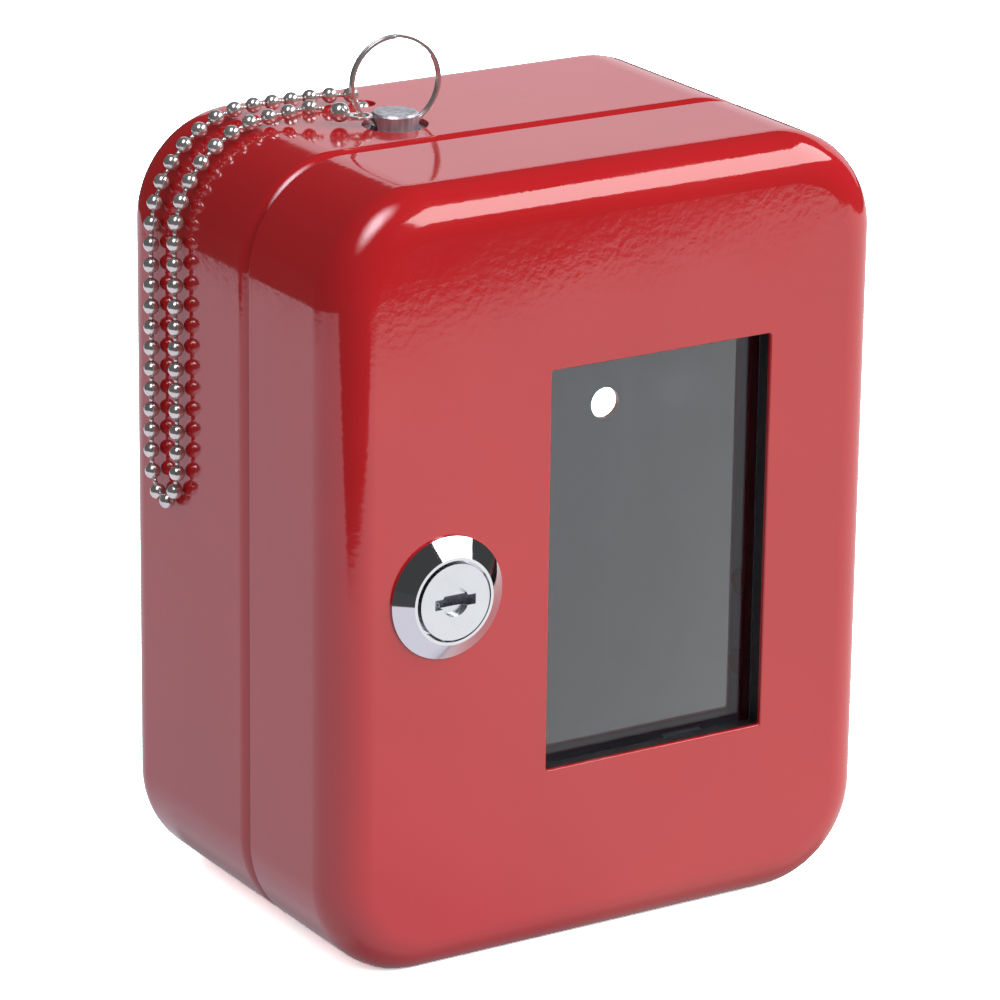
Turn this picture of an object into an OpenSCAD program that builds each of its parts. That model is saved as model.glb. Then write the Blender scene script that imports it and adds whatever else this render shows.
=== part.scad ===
// Emergency-key box: two deep-drawn sheet-steel shells, hinged on the right and locked on the left,
// with a glass window in the door and a steel striker on a bead chain.
// Shell frame: X right from the middle, Y back from the door's front face, Z up from the base.
// place() moves it so that the origin is the middle of the whole box's footprint.

/* [Box] */
// Width of both shells, across X
box_w = 126; // [110:1:150]
// Height of both shells
box_h = 160; // [150:1:190]
// Depth of the door shell, from its front face to its rim
door_depth = 33.5; // [33:0.5:36]
// Depth of the closed box, from the door's front face to the back
box_d = 85.5; // [78:0.5:110]
// Corner radius seen from the front
corner_r = 21.5; // [18:0.5:24]
// Radius between the door's front face and its walls
front_fillet = 9; // [6:0.5:9]
// Radius between the back face and the back shell's walls
back_fillet = 9; // [6:0.5:12]
// Thickness of the sheet steel
sheet_t = 1.2; // [1:0.1:1.5]

/* [Rim] */
// Gap between the door's rim and the back shell's rim
seam_gap = 0.4; // [0.3:0.1:0.8]
// Radius of the back shell's inward-turned rim
rim_round = 3.6; // [3:0.1:4]
// Reach of the turned rim, inward from the outside face
rim_reach = 8; // [7:0.5:9]

/* [Window] */
// Width of the window opening
window_w = 51; // [40:1:54]
// Height of the window opening
window_h = 82.5; // [60:0.5:90]
// Middle of the window, right of the box's middle
window_x = 10.7; // [10:0.1:12]
// Thickness of the glass
glass_t = 2; // [2:0.5:3]
// Thickness of the gasket
gasket_t = 3; // [2:0.5:3]

/* [Lock] */
// Middle of the lock, left of the box's middle
lock_x = -38.3; // [-39:0.1:-38]
// Height of the lock's middle
lock_z = 79.4; // [60:0.1:100]
// Diameter of the rosette
rosette_d = 24.8; // [22:0.1:26]
// Height of the rosette in front of the door
rosette_h = 3.1; // [3:0.1:4]
// Diameter of the plug's face
plug_d = 15.4; // [14:0.1:16]
// Length of the cam, from the lock's axis
cam_len = 21.5; // [20:0.5:22]

/* [Striker and chain] */
// Diameter of the striker
striker_d = 9.4; // [8:0.1:9.8]
// Length of the striker
striker_len = 40; // [30:1:60]
// Height of the striker's top above the box
striker_stand = 2.5; // [2:0.1:3]
// Diameter of the hole that the striker stands in
striker_hole_d = 13; // [12:0.5:14]
// Outside diameter of the split ring
ring_d = 19.2; // [18:0.1:20]
// Diameter of the chain's beads
bead_d = 3.2; // [3:0.1:3.4]

/* [Fixing] */
// Distance between the two wall holes
wall_hole_spacing = 105; // [100:1:110]
// Diameter of the wall holes
wall_hole_d = 6.8; // [5:0.1:7]
// Height of the wall holes
wall_hole_z = 81; // [60:1:110]

/* [Hidden] */
$fn = 64;
// How far a cutting body runs past what it cuts
over = 5;

// Shells
half_w = box_w / 2;
rear_y = door_depth + seam_gap;
arc_x = half_w - corner_r;
arc_z = box_h / 2 - corner_r;

// Hinge: the axis stands just outside the right-hand wall, in the seam
knuckle_r = 2.3;
hinge_x = half_w + knuckle_r + 0.4;
hinge_y = (door_depth + rear_y) / 2;
pin_r = 1.2;
pin_bore_r = 1.25;
pin_head_r = 1.9;
pin_head_t = 0.8;
leaf_t = 1.2;
leaf_h = 30;
leaf_reach = 16;
knuckle_gap = 0.3;
door_knuckle_h = 10;
hinge_zs = [box_h - 42, 42];
leaf_rivet_dz = 9;
leaf_rivet_reach = 11;
rivet_r = 1.5;
rivet_head_r = 2.8;
rivet_head_h = 1.1;
rivet_tail = 0.7;
rivet_dome_r = 4.2;
rivet_clear = 0.05;
rear_knuckles = [
    [-leaf_h / 2, -door_knuckle_h / 2 - knuckle_gap],
    [door_knuckle_h / 2 + knuckle_gap, leaf_h / 2]
];
door_knuckles = [[-door_knuckle_h / 2, door_knuckle_h / 2]];

// Hook for the key, on the back wall behind the window
hook_x = window_x;
hook_z = 112;
hook_plate_w = 12;
hook_plate_h = 26;
hook_plate_t = 1.5;
hook_rivet_dz = 9;
hook_rivet_head_h = 1;
hook_wire_r = 1.5;
hook_elbow = 3;
hook_out = 16;
hook_up = 7;

// Window
gasket_y = sheet_t;
glass_y = gasket_y + gasket_t;
channel_y = glass_y + glass_t;
glass_margin = 4;
gasket_inset = 0.3;
channel_t = 1;
channel_foot = 5;
channel_lip = 1.6;
clip_lip = 3;
channel_gap = 0.3;
channel_h = window_h + 4;
clip_w = 9;
clip_x = window_x + 11;

// Lock
barrel_r = 9;
barrel_end = 26;
barrel_hole_clear = 0.1;
rosette_edge = 0.5;
rosette_rim_d = 17.7;
plug_recess_d = 16.5;
plug_recess_floor = -0.4;
plug_head_t = 2.9;
plug_shaft_r = 6;
plug_bore_r = 6.05;
plug_proud = 0.4;
plug_face_y = -rosette_h - plug_proud;
plug_end = barrel_end + 0.4;
tail_w = 6.5;
tail_end = plug_end + 2;
keyway_w = 9.1;
keyway_h = 2.1;
keyway_depth = 7;
key_eye_d = 5.9;
key_eye_depth = 1.2;
washer_t = 0.8;
washer_r = 12;
nut_t = 4;
nut_y = sheet_t + washer_t;
thread_clear = 0.05;
nut_af = 24;
cam_t = 2;
cam_w = 12;
cam_step = 11;
cam_tip_y = rear_y + sheet_t + 0.8;
cam_screw_r = 1.5;
cam_screw_head_r = 4.4;
cam_screw_head_h = 2.2;
cam_screw_len = 6;
cam_screw_hole = 8;
cross_slot_w = 0.8;
cross_slot_l = 4.4;
cross_slot_depth = 1;
tail_clear = 0.1;

// Striker, ring and chain fittings
striker_x = -21.3;
striker_y = 48.8;
striker_top = box_h + striker_stand;
foot_chamfer = 1.2;
top_chamfer = 0.4;
cross_hole_d = 3.3;
cross_hole_z = striker_top - 2.7;
ring_wire = 0.8;
ring_wide = 1.5;
ring_turn = -8;
ring_r = ring_d / 2 - ring_wire / 2;
ring_z = cross_hole_z - 0.6 + ring_r;
holder_wall = 1.2;
holder_clear = 0.3;
holder_flange = 5;
holder_floor_z = striker_top - striker_len;
eyelet_at = [-28.3, 50, 162.1];
eyelet_od = 4.6;
eyelet_id = 3.1;
eyelet_t = 0.6;
coupling_at = [-31.3, 53.2, 162.6];
coupling_r = 2;
tongue_w = 1.4;
tongue_clear = 0.1;
tongue_turn = atan2(coupling_at.y - eyelet_at.y, coupling_at.x - eyelet_at.x);
tongue_reach = norm(coupling_at - eyelet_at) - coupling_r + 0.3;
chain_hole = [-18.9, 65.6];
chain_hole_d = 5;
stop_r = 3.4;
stop_t = 1;
stop_bead_sink = 0.3;

// Middle of the closed box's footprint, hinge and lock included
mid_x = (hinge_x + knuckle_r - half_w) / 2;
mid_y = (box_d + plug_face_y) / 2;

// Sides of the chain's tube
chain_sides = 8;

// Route of the bead chain: out of its hole, over the corner, down, round and back up to the ring
CHAIN = [
    [-18.9, 65.6, 158.8], [-18.9, 65.6, 159.8], [-19.4, 65.8, 161], [-21.2, 66.7, 161.9],
    [-24.5, 68.4, 161.8], [-29, 69, 161.8], [-35, 69, 161.8], [-41.5, 69, 161.8],
    [-47.6, 69, 161.2], [-53.2, 69, 158.8], [-58.1, 69, 155.1], [-61.8, 69, 150.2],
    [-64.2, 69, 144.6], [-64.8, 69.2, 138.5], [-64.8, 69.4, 130], [-64.8, 69.5, 120],
    [-64.8, 69.6, 110], [-64.8, 69.8, 100], [-64.8, 69.9, 92], [-64.8, 69, 87.8],
    [-64.8, 66.6, 84.9], [-64.8, 63.6, 84.7], [-64.8, 61, 86.8], [-64.8, 59.4, 91],
    [-64.8, 59.2, 100], [-64.8, 59.4, 110], [-64.8, 59.5, 120], [-64.8, 59.6, 130],
    [-64.8, 59.7, 138.5], [-64.2, 59.7, 144.6], [-61.8, 59.7, 150.2], [-58.1, 59.7, 155.1],
    [-53.2, 59.7, 158.8], [-47.6, 59.7, 161.2], [-42.5, 59.5, 161.9], [-38, 58.8, 162.5],
    [-35, 57.8, 163], [-33.6, 56.9, 163.1], [-32.4, 55.1, 162.9]
];

// Where each module's own shape lands in the finished frame
module place() {
    translate([-mid_x, -mid_y, 0])
        children();
}

// A cylinder along Y from y0 to y1
module rod_y(r, y0, y1) {
    translate([0, y0, 0])
        rotate([-90, 0, 0])
            cylinder(r = r, h = y1 - y0);
}

// A cylinder along X from x0 to x1
module rod_x(r, x0, x1) {
    translate([x0, 0, 0])
        rotate([0, 90, 0])
            cylinder(r = r, h = x1 - x0);
}

// A ring sector between two radii, in the quadrant given by turn
module bend(outer, inner, turn) {
    rotate(turn)
        intersection() {
            difference() {
                circle(outer);
                circle(inner);
            }
            square(2 * outer);
        }
}

// Section of a shell's wall from its corner axis outward: floor, fillet and wall
module shell_section(fillet, top) {
    square([corner_r - fillet, sheet_t]);
    translate([corner_r - fillet, fillet])
        bend(fillet, fillet - sheet_t, -90);
    translate([corner_r - sheet_t, fillet])
        square([sheet_t, top - fillet]);
}

module door_section() {
    shell_section(front_fillet, door_depth);
}

// The back shell's wall ends in a rim turned inward over a round
module rear_section() {
    depth = box_d - rear_y;
    shell_section(back_fillet, depth - rim_round);
    translate([corner_r - rim_round, depth - rim_round])
        bend(rim_round, rim_round - sheet_t, 0);
    translate([corner_r - rim_reach, depth - sheet_t])
        square([rim_reach - rim_round, sheet_t]);
}

// Sweeps a section round the rounded rectangle and closes the floor; the floor is at Z = 0
module tray() {
    for (turn = [0, 90, 180, 270]) {
        long = turn % 180 == 0;
        reach = long ? arc_x : arc_z;
        side = long ? arc_z : arc_x;
        rotate([0, 0, turn]) {
            translate([reach, side, 0])
                rotate_extrude(angle = 90)
                    children();
            translate([reach, side, 0])
                rotate([90, 0, 0])
                    linear_extrude(2 * side)
                        children();
        }
    }
    translate([-arc_x, -arc_z, 0])
        cube([2 * arc_x, 2 * arc_z, sheet_t]);
}

// Rivet holes of the two hinge leaves on one side of the seam, with a little clearance
module leaf_rivet_places(direction) {
    for (z = hinge_zs, dz = [-leaf_rivet_dz, leaf_rivet_dz])
        translate([half_w, hinge_y + direction * leaf_rivet_reach, z + dz])
            children();
}

// A rivet along X through a right-hand wall and its leaf: domed head outside, flat head inside
module leaf_rivet() {
    rod_x(rivet_r, -sheet_t, leaf_t);
    translate([leaf_t, 0, 0])
        rotate([0, 90, 0])
            rotate_extrude()
                intersection() {
                    translate([0, rivet_head_h - rivet_dome_r])
                        circle(rivet_dome_r);
                    square([rivet_head_r, rivet_head_h]);
                }
    rod_x(rivet_head_r, -sheet_t - rivet_tail, -sheet_t);
}

module rear_shell() {
    color("firebrick") place() difference() {
        translate([0, box_d, box_h / 2])
            rotate([90, 0, 0])
                tray() rear_section();
        for (side = [-1, 1])
            translate([side * wall_hole_spacing / 2, 0, wall_hole_z])
                rod_y(wall_hole_d / 2, box_d - over, box_d + over);
        translate([striker_x, striker_y, box_h - over])
            cylinder(d = striker_hole_d, h = 2 * over);
        translate([chain_hole.x, chain_hole.y, box_h - over])
            cylinder(d = chain_hole_d, h = 2 * over);
        leaf_rivet_places(1)
            rod_x(rivet_r + rivet_clear, -over, over);
        hook_rivet_places()
            rod_y(rivet_r + rivet_clear, -over, over);
    }
}

module door_shell() {
    color("red") place() difference() {
        translate([0, 0, box_h / 2])
            rotate([-90, 0, 0])
                tray() door_section();
        translate([window_x - window_w / 2, -over, (box_h - window_h) / 2])
            cube([window_w, 2 * over, window_h]);
        translate([lock_x, 0, lock_z])
            rod_y(barrel_r + barrel_hole_clear, -over, over);
        leaf_rivet_places(-1)
            rod_x(rivet_r + rivet_clear, -over, over);
    }
}

// A hinge leaf on the outside of the right-hand wall, running away from the seam along direction
module hinge_leaf(z, direction, knuckles) {
    clear = knuckle_r + 0.4;
    difference() {
        union() {
            translate([half_w, direction > 0 ? hinge_y + clear : hinge_y - leaf_reach, z - leaf_h / 2])
                cube([leaf_t, leaf_reach - clear, leaf_h]);
            for (k = knuckles) {
                translate([hinge_x, hinge_y, z + k[0]])
                    cylinder(r = knuckle_r, h = k[1] - k[0]);
                translate([half_w, direction > 0 ? hinge_y : hinge_y - clear, z + k[0]])
                    cube([leaf_t, clear, k[1] - k[0]]);
            }
        }
        translate([hinge_x, hinge_y, z - leaf_h])
            cylinder(r = pin_bore_r, h = 2 * leaf_h);
        for (dz = [-leaf_rivet_dz, leaf_rivet_dz])
            translate([half_w, hinge_y + direction * leaf_rivet_reach, z + dz])
                rod_x(rivet_r + rivet_clear, -over, over);
    }
}

module hinge_rear_leaf_upper() {
    color("firebrick") place() hinge_leaf(hinge_zs[0], 1, rear_knuckles);
}

module hinge_rear_leaf_lower() {
    color("firebrick") place() hinge_leaf(hinge_zs[1], 1, rear_knuckles);
}

module hinge_door_leaf_upper() {
    color("red") place() hinge_leaf(hinge_zs[0], -1, door_knuckles);
}

module hinge_door_leaf_lower() {
    color("red") place() hinge_leaf(hinge_zs[1], -1, door_knuckles);
}

module hinge_pin(z) {
    translate([hinge_x, hinge_y, z - leaf_h / 2]) {
        cylinder(r = pin_r, h = leaf_h);
        translate([0, 0, -pin_head_t])
            cylinder(r = pin_head_r, h = pin_head_t);
        translate([0, 0, leaf_h])
            cylinder(r = pin_head_r, h = pin_head_t);
    }
}

module hinge_pin_upper() {
    color("silver") place() hinge_pin(hinge_zs[0]);
}

module hinge_pin_lower() {
    color("silver") place() hinge_pin(hinge_zs[1]);
}

module rear_leaf_rivets() {
    color("firebrick") place() leaf_rivet_places(1) leaf_rivet();
}

module door_leaf_rivets() {
    color("red") place() leaf_rivet_places(-1) leaf_rivet();
}

module hook_rivet_places() {
    for (dz = [-hook_rivet_dz, hook_rivet_dz])
        translate([hook_x, box_d - sheet_t, hook_z + dz])
            children();
}

module key_hook() {
    plate_y = box_d - sheet_t - hook_plate_t;
    color("silver") place() {
        difference() {
            translate([hook_x - hook_plate_w / 2, plate_y, hook_z - hook_plate_h / 2])
                cube([hook_plate_w, hook_plate_t, hook_plate_h]);
            hook_rivet_places()
                rod_y(rivet_r + rivet_clear, -over, over);
        }
        translate([hook_x, 0, hook_z])
            rod_y(hook_wire_r, plate_y - hook_out + hook_elbow, plate_y);
        translate([hook_x, plate_y - hook_out + hook_elbow, hook_z + hook_elbow])
            rotate([0, -90, 0])
                rotate([0, 0, 180])
                    rotate_extrude(angle = 90)
                        translate([hook_elbow, 0])
                            circle(hook_wire_r);
        translate([hook_x, plate_y - hook_out, hook_z + hook_elbow])
            cylinder(r = hook_wire_r, h = hook_up);
        translate([hook_x, plate_y - hook_out, hook_z + hook_elbow + hook_up])
            sphere(hook_wire_r);
    }
}

module hook_rivets() {
    color("silver") place() hook_rivet_places() {
        rod_y(rivet_r, -hook_plate_t, sheet_t);
        rod_y(rivet_head_r, -hook_plate_t - hook_rivet_head_h, -hook_plate_t);
    }
}

// Closed tube under the top that the striker stands in
module striker_holder() {
    bore_r = striker_d / 2 + holder_clear;
    top = box_h - sheet_t;
    color("dimgray") place() translate([striker_x, striker_y, 0]) difference() {
        union() {
            translate([0, 0, holder_floor_z - holder_wall])
                cylinder(r = bore_r + holder_wall, h = top - holder_floor_z + holder_wall);
            translate([0, 0, top - holder_wall])
                cylinder(r = bore_r + holder_flange, h = holder_wall);
        }
        translate([0, 0, holder_floor_z])
            cylinder(r = bore_r, h = striker_len);
    }
}

// Disc and end bead under the top that keep the chain from pulling out
module chain_stop() {
    color("silver") place() translate([chain_hole.x, chain_hole.y, 0]) {
        translate([0, 0, box_h - sheet_t - stop_t])
            cylinder(r = stop_r, h = stop_t);
        translate([0, 0, box_h - sheet_t - stop_t - bead_d / 2 + stop_bead_sink])
            sphere(d = bead_d);
    }
}

function unit(v) = v / norm(v);

function tangent(path, i) =
    unit(path[min(i + 1, len(path) - 1)] - path[max(i - 1, 0)]);

// A closed tube along a route: one ring of corners at each point, square to the route
module tube(path, r, sides) {
    last = len(path) - 1;
    points = [
        for (i = [0 : last])
            let (t = tangent(path, i), a = unit(cross(t, [0.31, 0.9, 0.42])), b = cross(t, a))
                for (s = [0 : sides - 1])
                    path[i] + r * (cos(360 * s / sides) * a + sin(360 * s / sides) * b)
    ];
    walls = [
        for (i = [0 : last - 1], s = [0 : sides - 1])
            let (n = (s + 1) % sides, p = i * sides)
                each [[p + s, p + n, p + sides + n], [p + s, p + sides + n, p + sides + s]]
    ];
    start = [for (s = [sides - 1 : -1 : 0]) s];
    end = [for (s = [0 : sides - 1]) last * sides + s];
    polyhedron(points, concat(walls, [start, end]));
}

module bead_chain() {
    color("gainsboro") place() tube(CHAIN, bead_d / 2, chain_sides);
}

// Frame of rubber between the door's sheet and the glass
module window_gasket() {
    outer_w = window_w + 2 * glass_margin;
    outer_h = window_h + 2 * glass_margin;
    inner_w = window_w + 2 * gasket_inset;
    inner_h = window_h + 2 * gasket_inset;
    color("black") place() translate([window_x, gasket_y, box_h / 2]) difference() {
        translate([-outer_w / 2, 0, -outer_h / 2])
            cube([outer_w, gasket_t, outer_h]);
        translate([-inner_w / 2, -over, -inner_h / 2])
            cube([inner_w, gasket_t + 2 * over, inner_h]);
    }
}

module window_pane() {
    pane_w = window_w + 2 * glass_margin;
    pane_h = window_h + 2 * glass_margin;
    color("lightblue", 0.4) place()
        translate([window_x - pane_w / 2, glass_y, (box_h - pane_h) / 2])
            cube([pane_w, glass_t, pane_h]);
}

// Z-shaped channel that holds one edge of the glass: foot on the door, web, lip behind the glass.
// Drawn for an edge at x = 0 with the glass towards +X
module channel_shape(lip) {
    back = channel_y + channel_gap;
    polygon([
        [-channel_gap - channel_t - channel_foot, sheet_t],
        [-channel_gap, sheet_t],
        [-channel_gap, back],
        [lip, back],
        [lip, back + channel_t],
        [-channel_gap - channel_t, back + channel_t],
        [-channel_gap - channel_t, sheet_t + channel_t],
        [-channel_gap - channel_t - channel_foot, sheet_t + channel_t]
    ]);
}

module pane_channel_left() {
    color("silver") place()
        translate([window_x - window_w / 2 - glass_margin, 0, (box_h - channel_h) / 2])
            linear_extrude(channel_h)
                channel_shape(channel_lip);
}

module pane_channel_right() {
    color("silver") place()
        translate([window_x + window_w / 2 + glass_margin, 0, (box_h - channel_h) / 2])
            mirror([1, 0, 0])
                linear_extrude(channel_h)
                    channel_shape(channel_lip);
}

// Short channel under the glass that it stands in
module pane_clip_bottom() {
    edge = (box_h - window_h) / 2 - glass_margin;
    color("silver") place()
        translate([clip_x + clip_w / 2, 0, edge])
            rotate([0, -90, 0])
                linear_extrude(clip_w)
                    channel_shape(clip_lip);
}

module lock_housing() {
    color("silver") place() translate([lock_x, 0, lock_z]) difference() {
        union() {
            rotate([-90, 0, 0])
                translate([0, 0, -rosette_h])
                    cylinder(d1 = rosette_rim_d, d2 = rosette_d, h = rosette_h - rosette_edge);
            rod_y(rosette_d / 2, -rosette_edge, 0);
            rod_y(barrel_r, 0, barrel_end);
        }
        rod_y(plug_recess_d / 2, -rosette_h - over, plug_recess_floor);
        rod_y(plug_bore_r, -over, barrel_end + over);
    }
}

module lock_washer() {
    color("dimgray") place() translate([lock_x, 0, lock_z]) difference() {
        rod_y(washer_r, sheet_t, nut_y);
        rod_y(barrel_r + thread_clear, 0, nut_y + nut_t + over);
    }
}

// Its flats face sideways, so that it clears the window's channel
module lock_nut() {
    color("dimgray") place() translate([lock_x, 0, lock_z]) difference() {
        translate([0, nut_y, 0])
            rotate([-90, 30, 0])
                cylinder(d = nut_af / cos(30), h = nut_t, $fn = 6);
        rod_y(barrel_r + thread_clear, 0, nut_y + nut_t + over);
    }
}

// Square of the plug's tail, and of the hole in the cam that fits it
module tail_square(side, y0, y1) {
    translate([-side / 2, y0, -side / 2])
        cube([side, y1 - y0, side]);
}

module lock_plug() {
    color("gainsboro") place() translate([lock_x, 0, lock_z]) difference() {
        union() {
            rod_y(plug_d / 2, plug_face_y, plug_face_y + plug_head_t);
            rod_y(plug_shaft_r, plug_face_y + plug_head_t, plug_end);
            tail_square(tail_w, plug_end, tail_end);
        }
        translate([-keyway_w / 2, plug_face_y - over, -keyway_h / 2])
            cube([keyway_w, keyway_depth + over, keyway_h]);
        rod_y(key_eye_d / 2, plug_face_y - over, plug_face_y + key_eye_depth);
        rod_y(cam_screw_r, tail_end - cam_screw_hole, tail_end + over);
    }
}

// Cranked cam: root on the plug's tail, step, and a tip that turns in behind the turned rim.
// It points down while the lock is open
module lock_cam() {
    root_y = plug_end;
    color("darkgray") place() translate([lock_x, 0, lock_z]) difference() {
        union() {
            rod_y(cam_w / 2, root_y, root_y + cam_t);
            translate([-cam_w / 2, root_y, -cam_step - cam_t])
                cube([cam_w, cam_t, cam_step + cam_t]);
            translate([-cam_w / 2, root_y, -cam_step - cam_t])
                cube([cam_w, cam_tip_y + cam_t - root_y, cam_t]);
            translate([-cam_w / 2, cam_tip_y, -cam_len])
                cube([cam_w, cam_t, cam_len - cam_step]);
        }
        tail_square(tail_w + tail_clear, root_y - over, root_y + cam_t + over);
    }
}

module cam_screw() {
    color("silver") place() translate([lock_x, 0, lock_z]) {
        rod_y(cam_screw_r, tail_end - cam_screw_len, tail_end);
        difference() {
            rod_y(cam_screw_head_r, tail_end, tail_end + cam_screw_head_h);
            for (turn = [0, 90])
                rotate([0, turn, 0])
                    translate([-cross_slot_l / 2, tail_end + cam_screw_head_h - cross_slot_depth, -cross_slot_w / 2])
                        cube([cross_slot_l, over, cross_slot_w]);
        }
    }
}

// Polished pin with a chamfered top and a cross-hole for the ring
module striker() {
    r = striker_d / 2;
    color("lightgray") place() translate([striker_x, striker_y, 0]) difference() {
        union() {
            translate([0, 0, striker_top - striker_len])
                cylinder(r1 = r - foot_chamfer, r2 = r, h = foot_chamfer);
            translate([0, 0, striker_top - striker_len + foot_chamfer])
                cylinder(r = r, h = striker_len - foot_chamfer - top_chamfer);
            translate([0, 0, striker_top - top_chamfer])
                cylinder(r1 = r, r2 = r - top_chamfer, h = top_chamfer);
        }
        rotate([0, 0, ring_turn])
            translate([0, 0, cross_hole_z])
                rod_x(cross_hole_d / 2, -striker_d, striker_d);
    }
}

module split_ring() {
    color("silver") place() translate([striker_x, striker_y, ring_z])
        rotate([90, 0, ring_turn])
            rotate_extrude()
                translate([ring_r - ring_wire / 2, -ring_wide / 2])
                    square([ring_wire, ring_wide]);
}

module chain_eyelet() {
    color("gainsboro") place() translate(eyelet_at)
        rotate([0, 0, tongue_turn])
            translate([0, 0, -eyelet_t / 2])
                difference() {
                    union() {
                        cylinder(d = eyelet_od, h = eyelet_t);
                        translate([0, -tongue_w / 2, 0])
                            cube([tongue_reach, tongue_w, eyelet_t]);
                    }
                    translate([0, 0, -over])
                        cylinder(d = eyelet_id, h = eyelet_t + 2 * over);
                }
}

module chain_coupling() {
    slot_w = tongue_w + 2 * tongue_clear;
    slot_t = eyelet_t + 2 * tongue_clear;
    color("gainsboro") place() difference() {
        translate(coupling_at)
            sphere(coupling_r);
        translate(eyelet_at)
            rotate([0, 0, tongue_turn])
                translate([0, -slot_w / 2, -slot_t / 2])
                    cube([tongue_reach + tongue_clear, slot_w, slot_t]);
    }
}

rear_shell();
hinge_rear_leaf_upper();
hinge_rear_leaf_lower();
rear_leaf_rivets();
hinge_pin_upper();
hinge_pin_lower();
key_hook();
hook_rivets();
striker_holder();
chain_stop();
bead_chain();
door_shell();
hinge_door_leaf_upper();
hinge_door_leaf_lower();
door_leaf_rivets();
window_gasket();
window_pane();
pane_channel_left();
pane_channel_right();
pane_clip_bottom();
lock_housing();
lock_washer();
lock_nut();
lock_plug();
lock_cam();
cam_screw();
striker();
split_ring();
chain_eyelet();
chain_coupling();
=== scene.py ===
"""Emergency key box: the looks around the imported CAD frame.

The two enamelled shells, the bead chain with its fittings and the split ring are built here in mesh code,
from the places of the CAD nodes that they stand for. The other CAD nodes stay and get their materials here.
Lengths are in metres, in the row frame: x to the right, y to the back, z up.
"""

import math

import bmesh
import bpy
from mathutils import Matrix, Vector


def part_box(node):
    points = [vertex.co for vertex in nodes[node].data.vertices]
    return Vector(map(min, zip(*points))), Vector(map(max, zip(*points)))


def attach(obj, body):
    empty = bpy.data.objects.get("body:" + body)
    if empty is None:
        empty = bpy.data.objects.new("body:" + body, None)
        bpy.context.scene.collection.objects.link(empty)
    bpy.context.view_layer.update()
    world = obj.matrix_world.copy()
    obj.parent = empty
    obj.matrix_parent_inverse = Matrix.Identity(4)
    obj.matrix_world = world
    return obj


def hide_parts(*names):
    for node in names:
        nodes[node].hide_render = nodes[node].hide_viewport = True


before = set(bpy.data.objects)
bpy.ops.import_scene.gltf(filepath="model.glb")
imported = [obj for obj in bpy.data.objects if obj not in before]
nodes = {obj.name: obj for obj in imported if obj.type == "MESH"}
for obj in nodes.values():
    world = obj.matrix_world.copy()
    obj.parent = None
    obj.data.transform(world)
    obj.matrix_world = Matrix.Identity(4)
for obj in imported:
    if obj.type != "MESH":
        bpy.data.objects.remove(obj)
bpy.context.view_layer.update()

MM = 0.001

# Sheet-steel shells, as in the CAD
CORNER_R = 21.5 * MM
SHEET = 1.2 * MM
FRONT_FILLET = 9 * MM
BACK_FILLET = 9 * MM
RIM_ROUND = 3.6 * MM
RIM_REACH = 8 * MM
CUT_EDGE = 0.35 * MM  # rounding of a cut edge under its enamel
WINDOW_CORNER = 0.5 * MM

# Fineness of round shapes
CORNER_STEPS = 28
FILLET_STEPS = 16
EDGE_STEPS = 4
ROUND_STEPS = 96
WINDOW_CORNER_STEPS = 6
QUARTERS = ((1, 1), (-1, 1), (-1, -1), (1, -1))  # sides of the four corners, anticlockwise

door_low, door_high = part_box("door_shell")
rear_low, rear_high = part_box("rear_shell")
MID_X = (door_low.x + door_high.x) / 2
MID_Z = (door_low.z + door_high.z) / 2
HALF_W = (door_high.x - door_low.x) / 2
HALF_H = (door_high.z - door_low.z) / 2
ARC_X = HALF_W - CORNER_R
ARC_Z = HALF_H - CORNER_R
FRONT_Y = door_low.y
BACK_Y = rear_high.y
TOP_Z = door_high.z

# Places that the CAD nodes give
gasket_low, gasket_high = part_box("window_gasket")
lock_low, lock_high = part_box("lock_housing")
striker_low, striker_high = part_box("striker")
ring_low, ring_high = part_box("split_ring")
coupling_low, coupling_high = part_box("chain_coupling")
stop_low, stop_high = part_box("chain_stop")
rivet_low, rivet_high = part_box("hook_rivets")
LOCK_X = (lock_low.x + lock_high.x) / 2
LOCK_Z = (lock_low.z + lock_high.z) / 2
STRIKER_X = (striker_low.x + striker_high.x) / 2
STRIKER_Y = (striker_low.y + striker_high.y) / 2

# Openings, as in the CAD
GLASS_MARGIN = 4 * MM
WINDOW_W = gasket_high.x - gasket_low.x - 2 * GLASS_MARGIN
WINDOW_H = gasket_high.z - gasket_low.z - 2 * GLASS_MARGIN
WINDOW_X = (gasket_low.x + gasket_high.x) / 2
LOCK_HOLE_R = 9.1 * MM
WALL_HOLE_R = 3.4 * MM
WALL_HOLE_X = 52.5 * MM
WALL_HOLE_Z = 81 * MM
RIVET_HEAD_R = 2.8 * MM
RIVET_HOLE_R = 1.55 * MM
STRIKER_HOLE_R = 6.5 * MM
CHAIN_HOLE = Vector(((stop_low.x + stop_high.x) / 2, (stop_low.y + stop_high.y) / 2))
CHAIN_HOLE_R = 2.5 * MM


# ---------------------------------------------------------------- materials


def new_material(name, color, metallic=0.0, roughness=0.5, ior=1.5):
    """A material with one Principled shader; returns the material, its node tree and the shader."""
    material = bpy.data.materials.new(name)
    material.use_nodes = True
    tree = material.node_tree
    shader = tree.nodes["Principled BSDF"]
    shader.inputs["Base Color"].default_value = (*color, 1)
    shader.inputs["Metallic"].default_value = metallic
    shader.inputs["Roughness"].default_value = roughness
    shader.inputs["IOR"].default_value = ior
    return material, tree, shader


def bare_material(name):
    """A material with no shader yet; returns the material, its node tree and its output's surface."""
    material = bpy.data.materials.new(name)
    material.use_nodes = True
    tree = material.node_tree
    tree.nodes.remove(tree.nodes["Principled BSDF"])
    return material, tree, tree.nodes["Material Output"].inputs["Surface"]


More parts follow.
